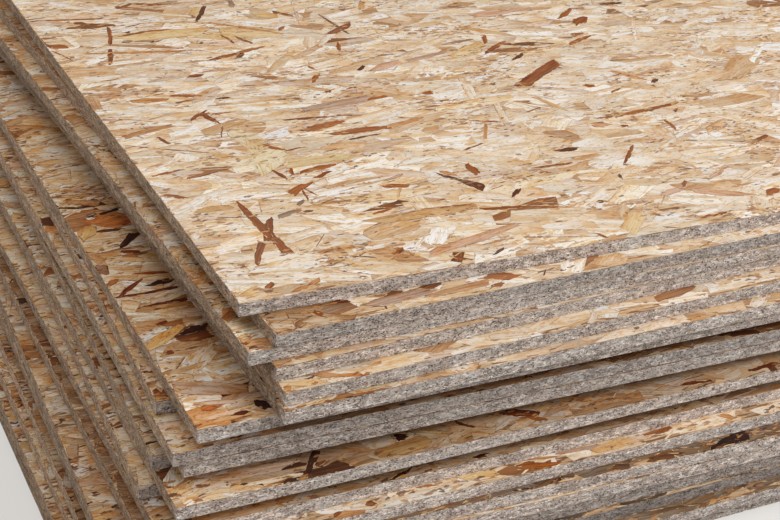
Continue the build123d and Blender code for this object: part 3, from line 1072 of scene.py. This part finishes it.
def coreGeometry(random, seat, number):
    size = edgeSizes
    longSteps = 2 * round(seat.length / size["step"] / 2)
    shortSteps = round(seat.width / size["step"])
    corners = np.array([(0, 0), (seat.length, 0), (seat.length, seat.width), (0, seat.width)], float)
    normals = np.array([(0, 1), (-1, 0), (0, -1), (1, 0)], float)
    spots, inward, runs, sideOf = [], [], [], []
    travelled = 0.0
    for side, steps in enumerate((longSteps, shortSteps, longSteps, shortSteps)):
        start, end = corners[side], corners[(side + 1) % 4]
        reach = np.linalg.norm(end - start)
        for step in range(steps):
            spots.append(start + (end - start) * step / steps)
            inward.append(normals[side] + normals[side - 1] if step == 0 else normals[side])
            runs.append(travelled + reach * step / steps)
            sideOf.append(side)
        travelled += reach
    spots, inward, runs = np.array(spots), np.array(inward), np.array(runs + [travelled])
    heights = np.array(size["rows"])
    columns, rows = len(spots), len(heights)
    relief = np.abs(random.normal(0.0, size["relief"] * size["usual"], (columns, rows)))
    relief = np.minimum(relief, size["relief"] * size["most"])
    for row in (0, rows - 1):
        chipped = random.random(columns) < size["chipShare"]
        chips = random.uniform(size["leastChip"], 1.0, columns) * size["chip"]
        relief[:, row] += np.where(chipped, chips, 0.0)
    relief[:, 0] += size["underset"]
    places = spots[:, None, :] + inward[:, None, :] * relief[..., None]
    points = toWorld(seat, places, seat.low + np.broadcast_to(heights, (columns, rows))).reshape(-1, 3)
    every = np.arange(columns)
    column = every[:, None] * rows
    after = (every[:, None] + 1) % columns * rows
    row = np.arange(rows - 1)[None]
    quads = np.stack([column + row, after + row, after + row + 1, column + row + 1], -1).reshape(-1, 4)
    top = (every * rows + rows - 1).tolist()
    under = (every * rows)[::-1].tolist()
    # the six rows of the surface map that hold the sides, a long side fills two
    half = longSteps // 2
    back = longSteps + shortSteps
    starts = np.array([0, half, longSteps, back, back + half, back + longSteps, columns])
    band = np.searchsorted(starts, every, side="right") - 1
    reach = starts[band + 1] - starts[band]
    low = (every - starts[band]) / reach
    high = (every + 1 - starts[band]) / reach
    upShare = mapSizes["stripGap"] + mapSizes["stripFill"] * (heights / heights[-1])[None]
    up = mapSizes["strip"] * (band[:, None] + upShare)
    uv = cornerValues(low[:, None], high[:, None], up[:, :-1], up[:, 1:])
    runStep, seedStep = size["grainStep"]
    runs = runs[:, None] + number * runStep
    place = cornerValues(runs[:-1], runs[1:], heights[None, :-1], heights[None, 1:], number * seedStep)
    flat = places / np.array([seat.length, seat.width])
    capScale = np.array([1.0, mapSizes["capHeight"]])
    topUv = flat[:, -1] * capScale + np.array([0.0, mapSizes["topCap"]])
    underUv = flat[::-1, 0] * capScale + np.array([0.0, mapSizes["underCap"]])
    return {
        "points": points, "quads": quads, "caps": [top, under], "uv": np.concatenate([uv, topUv, underUv]),
        "edgePlace": np.concatenate([place, np.zeros((2 * columns, 3))]),
        "side": np.repeat(sideOf, rows),
    }


def addAttribute(mesh, name, kind, domain, values):
    attribute = mesh.attributes.new(name, kind, domain)
    field = "color" if kind == "FLOAT_COLOR" else "vector"
    attribute.data.foreach_set(field, np.ascontiguousarray(values, np.float32).ravel())


def buildPiece(name, core, slabs, sideShades):
    points, faces, slots, uv, edgePlace = [], [], [], [], []
    read = {"place": [], "rim": [], "run": [], "tint": []}
    offset = 0
    if core is not None:
        offset = len(core["points"])
        points.append(core["points"])
        faces += core["quads"].tolist() + core["caps"]
        slots += [edgeSlot] * len(core["quads"]) + [bedSlot] * len(core["caps"])
        uv.append(core["uv"])
        edgePlace.append(core["edgePlace"])
        for key in ("place", "rim", "run"):
            read[key].append(np.zeros((offset, 3)))
        read["tint"].append(np.ones((offset, 4)))
    if slabs is not None:
        points.append(slabs["points"])
        faces += (slabs["faces"] + offset).tolist()
        slots += [strandSlot] * len(slabs["faces"])
        uv.append(slabs["uv"])
        edgePlace.append(np.zeros((len(slabs["uv"]), 3)))
        for key, values in read.items():
            values.append(slabs[key])
    mesh = bpy.data.meshes.new(name)
    mesh.from_pydata(np.concatenate(points).tolist(), [], faces)
    for material in materials:
        mesh.materials.append(material)
    mesh.polygons.foreach_set("material_index", slots)
    shades = np.ones((len(mesh.vertices), 4))
    if core is not None:
        shades[:offset, :3] = sideShades[core["side"]]
    addAttribute(mesh, "strandPlace", "FLOAT_VECTOR", "POINT", np.concatenate(read["place"]))
    addAttribute(mesh, "strandRim", "FLOAT_VECTOR", "POINT", np.concatenate(read["rim"]))
    addAttribute(mesh, "strandRun", "FLOAT_VECTOR", "POINT", np.concatenate(read["run"]))
    addAttribute(mesh, "strandTint", "FLOAT_COLOR", "POINT", np.concatenate(read["tint"]))
    addAttribute(mesh, "edgePlace", "FLOAT_VECTOR", "CORNER", np.concatenate(edgePlace))
    addAttribute(mesh, "edgeShade", "FLOAT_COLOR", "POINT", shades)
    layer = mesh.uv_layers.new(name="OFBake")
    layer.data.foreach_set("uv", np.concatenate(uv).astype(np.float32).ravel())
    mesh.update()
    piece = bpy.data.objects.new(name, mesh)
    bpy.context.scene.collection.objects.link(piece)
    return piece


stack = {
    "seed": 4100,
    "topBands": 4,  # pieces that the top panel's strands are split into
    # painted shade: the warm, darker tint of every left sawn side
    "leftShadeTint": (0.83, 0.68, 0.52),
    "leftReach": 0.12,  # strands this close to the left edge take the left side's painted light and shade
    "palest": 0.95,
    "nookShade": 0.25,  # painted shade, darker close to the panel above
    "nookFall": 0.012,
}
# sawn edges that are lighter or darker than the rest, by panel: partly the panels' own tone, partly
# painted shade where they lie under the overhangs
frontShades = {
    20: 0.84, 16: 1.06, 15: 1.05, 13: 0.85, 12: 0.91, 10: 1.09,
    8: 1.12, 7: 1.22, 6: 1.12, 5: 1.17, 4: 0.70, 3: 0.52,
}
leftShades = {
    20: 1.02, 18: 0.62, 16: 0.88, 14: 1.12, 13: 1.16, 11: 1.04, 9: 1.12, 4: 1.28, 3: 1.22, 1: 0.85,
}
# painted light and shade on the faces between the panels: brighter where light reaches, darker in the
# crevices under the overhangs
faceLightAndShade = {
    "brightLit": (1.22, 1.20, 1.18),
    "open": (1.0, 1.0, 1.0),
    "soft": (0.88, 0.89, 0.91),
    "tan": (0.78, 0.71, 0.64),
    "warm": (0.56, 0.47, 0.39),
    "brown": (0.40, 0.28, 0.20),
    "deep": (0.26, 0.20, 0.16),
    "black": (0.12, 0.10, 0.09),
}
deepKinds = ("warm", "brown", "deep", "black")
frontFaces = {
    21: "soft", 20: "soft", 18: "tan", 17: "soft", 16: "tan", 13: "brown", 12: "warm",
    10: "warm", 8: "warm", 7: "open", 6: "deep", 5: "soft", 3: "black", 2: "deep",
}
leftFaces = {
    21: "soft", 20: "warm", 14: "brightLit", 13: "brightLit", 11: "soft", 10: "open",
    9: "brightLit", 8: "open", 7: "brown", 6: "tan", 4: "warm",
}
faceDepths = {"open": 1.14, "front": 1.45, "left": 1.85}  # painted shade: deepens dark strands more than pale ones, most on the shaded left and front faces
# painted light: lifts the strands' tones, most on the left and front faces between the panels
faceLightLifts = {"open": (1.03, 1.03, 1.03), "front": (1.06, 1.09, 1.12), "left": (1.14, 1.16, 1.18)}


# a painted shade for each sawn side, front, right, back and left; the left side also takes the warm
# painted shade of the stack's left tint
def shadeSides(number):
    shades = np.ones((4, 3))
    shades[0] *= frontShades.get(number, 1.0)
    shades[3] = leftShades.get(number, 1.0) * np.array(stack["leftShadeTint"])
    return shades


# painted light and shade on a panel's strands, with each tone's depth of colour as a fourth value
def paintStrandLight(seat, cover, number, grown):
    spots, tone = grown[0], grown[-1]
    alongLeft = spots[..., 0].mean((1, 2)) < stack["leftReach"]
    leftKind = leftFaces.get(number, "open")
    frontKind = frontFaces.get(number, "open")
    leftLighting = "open" if cover is None else "left"
    frontLighting = "front" if frontKind in deepKinds else "open"
    face = np.where(alongLeft[:, None], faceLightAndShade[leftKind], faceLightAndShade[frontKind])
    depth = np.where(alongLeft[:, None], faceDepths[leftLighting], faceDepths[frontLighting])
    lift = np.where(alongLeft[:, None], faceLightLifts[leftLighting], faceLightLifts[frontLighting])
    tone = tone * lift * face ** (1.0 / depth)
    tone = tone * np.minimum(1.0, stack["palest"] / tone.max(1))[:, None]
    tint = np.concatenate([tone, depth], 1)[:, None, None]
    tint = np.broadcast_to(tint, spots.shape[:3] + (4,)).copy()
    # painted shade on strands close to the outline of the panel above
    if cover is not None:
        gap = np.maximum(0.0, -depthUnder(seat, cover, spots))
        nook = stack["nookShade"] * np.exp(-gap / stack["nookFall"]) * alongLeft[:, None, None]
        tint[..., :3] *= (1.0 - nook)[..., None]
    return tint


# the top panel's strands, in separate pieces from front to back
def buildTopStrands(name, seat, grown, sideShades):
    last = stack["topBands"] - 1
    across = grown[0][..., 1].mean((1, 2)) / seat.width
    band = np.clip((across * stack["topBands"]).astype(int), 0, last)
    pieces = []
    for part in range(stack["topBands"]):
        slabs = slabGeometry(seat, [array[band == part] for array in grown])
        pieces.append(buildPiece(f"{name}_strands_{part + 1}", None, slabs, sideShades))
    return pieces


nodeNames = sorted(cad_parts)
seats = [readSeat(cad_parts[name]) for name in nodeNames]
triangles = 0
for index, (nodeName, seat) in enumerate(zip(nodeNames, seats)):
    random = np.random.default_rng(stack["seed"] + index)
    number = index + 1
    name = f"board_{number:02d}"
    cover = seats[number] if number < len(seats) else None
    core = coreGeometry(random, seat, number)
    shades = shadeSides(number)
    grown = growStrands(random, seat, cover, number)
    grown[-1] = paintStrandLight(seat, cover, number, grown)
    if cover is not None:
        pieces = [buildPiece(name, core, slabGeometry(seat, grown, mapSizes["strands"]), shades)]
    else:
        pieces = [buildPiece(name, core, None, shades)]
        pieces += buildTopStrands(name, seat, grown, shades)
    for piece in pieces:
        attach(piece, "root")
        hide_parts(nodeName)
        triangles += sum(len(polygon.vertices) - 2 for polygon in piece.data.polygons)
    print(name, "strands:", len(grown[0]))
print("triangles:", triangles)


# plain studio

studio = {
    "floorReach": 45.0,
    "floorColour": paint(152, 150, 146),
    "floorBounce": paint(150, 146, 140),
    "floorRoughness": 0.9,
    "floorGlow": 0.46,  # seen by the camera only
    "glowColour": (1.0, 0.985, 0.96, 1.0),
    "backdrop": 0.52,
    "skyColour": (0.97, 0.98, 1.0, 1.0),
    "skyStrength": 0.45,
    "stackMiddle": (-0.6, -0.2, 0.3),  # all lamps point here
}
lamps = {
    "keyLamp": {"spot": (3.0, -3.3, 4.0), "size": 3.0, "power": 275.0, "colour": (1.0, 0.99, 0.975)},
    "overLamp": {"spot": (-1.7, -0.1, 4.3), "size": 2.6, "power": 42.0, "colour": (1.0, 0.965, 0.92)},
    "sideLamp": {"spot": (-4.2, 0.6, 2.2), "size": 3.0, "power": 8.0, "colour": (1.0, 0.84, 0.66)},
}


def addLamp(name, spot, size, power, colour):
    light = bpy.data.lights.new(name, "AREA")
    light.size = size
    light.color = colour
    light.energy = power
    lamp = bpy.data.objects.new(name, light)
    lamp.location = spot
    lamp.rotation_mode = "QUATERNION"
    aim = Vector(studio["stackMiddle"]) - Vector(spot)
    lamp.rotation_quaternion = aim.to_track_quat("-Z", "Y")
    bpy.context.scene.collection.objects.link(lamp)


def makeFloor():
    reach = studio["floorReach"]
    mesh = bpy.data.meshes.new("floor")
    corners = [(-reach, -reach, 0), (reach, -reach, 0), (reach, reach, 0), (-reach, reach, 0)]
    mesh.from_pydata(corners, [], [(0, 1, 2, 3)])
    material, tree, shader = makeMaterial("paleFloor")
    shader.inputs["Roughness"].default_value = studio["floorRoughness"]
    path = addNode(tree, "ShaderNodeLightPath").outputs
    seen = mathNode(tree, "ADD", path["Is Camera Ray"], path["Is Glossy Ray"], clamp=True)
    seen = mathNode(tree, "ADD", seen, path["Is Transmission Ray"], clamp=True)
    colour = mixColours(tree, seen, studio["floorBounce"], studio["floorColour"])
    tree.links.new(colour, shader.inputs["Base Color"])
    shader.inputs["Emission Color"].default_value = studio["glowColour"]
    tree.links.new(multiply(tree, seen, studio["floorGlow"]), shader.inputs["Emission Strength"])
    mesh.materials.append(material)
    floor = bpy.data.objects.new("floor", mesh)
    bpy.context.scene.collection.objects.link(floor)


def makeSky():
    world = bpy.data.worlds.new("studioSky")
    world.use_nodes = True
    tree = world.node_tree
    sky = tree.nodes["Background"]
    sky.inputs["Color"].default_value = studio["skyColour"]
    seen = addNode(tree, "ShaderNodeLightPath").outputs["Is Camera Ray"]
    strength = spread(tree, seen, 0.0, 1.0, studio["skyStrength"], studio["backdrop"])
    tree.links.new(strength, sky.inputs["Strength"])
    bpy.context.scene.world = world


makeFloor()
makeSky()
for name, lamp in lamps.items():
    addLamp(name, **lamp)


# camera at the photograph's angle

view = {
    "spot": (-1.60316, -1.80184, 1.20236),
    "azimuth": -28.727,
    "elevation": 28.3256,
    "roll": 5.2941,
    "lens": 68.885,
    "sensor": 36.0,
}


def makeCamera():
    azimuth, elevation, roll = (math.radians(view[key]) for key in ("azimuth", "elevation", "roll"))
    flat = math.cos(elevation)
    back = Vector((math.sin(azimuth) * flat, -math.cos(azimuth) * flat, math.sin(elevation)))
    right = (-back).cross(Vector((0, 0, 1))).normalized()
    up = right.cross(-back)
    rolledRight = math.cos(roll) * right + math.sin(roll) * up
    rolledUp = math.cos(roll) * up - math.sin(roll) * right
    data = bpy.data.cameras.new("photoCamera")
    data.lens = view["lens"]
    data.sensor_width = view["sensor"]
    camera = bpy.data.objects.new("photoCamera", data)
    turn = Matrix((rolledRight, rolledUp, back)).transposed().to_4x4()
    camera.matrix_world = Matrix.Translation(view["spot"]) @ turn
    bpy.context.scene.collection.objects.link(camera)
    bpy.context.scene.camera = camera


makeCamera()
bpy.context.scene.view_settings.view_transform = "Standard"
print("studio ready")
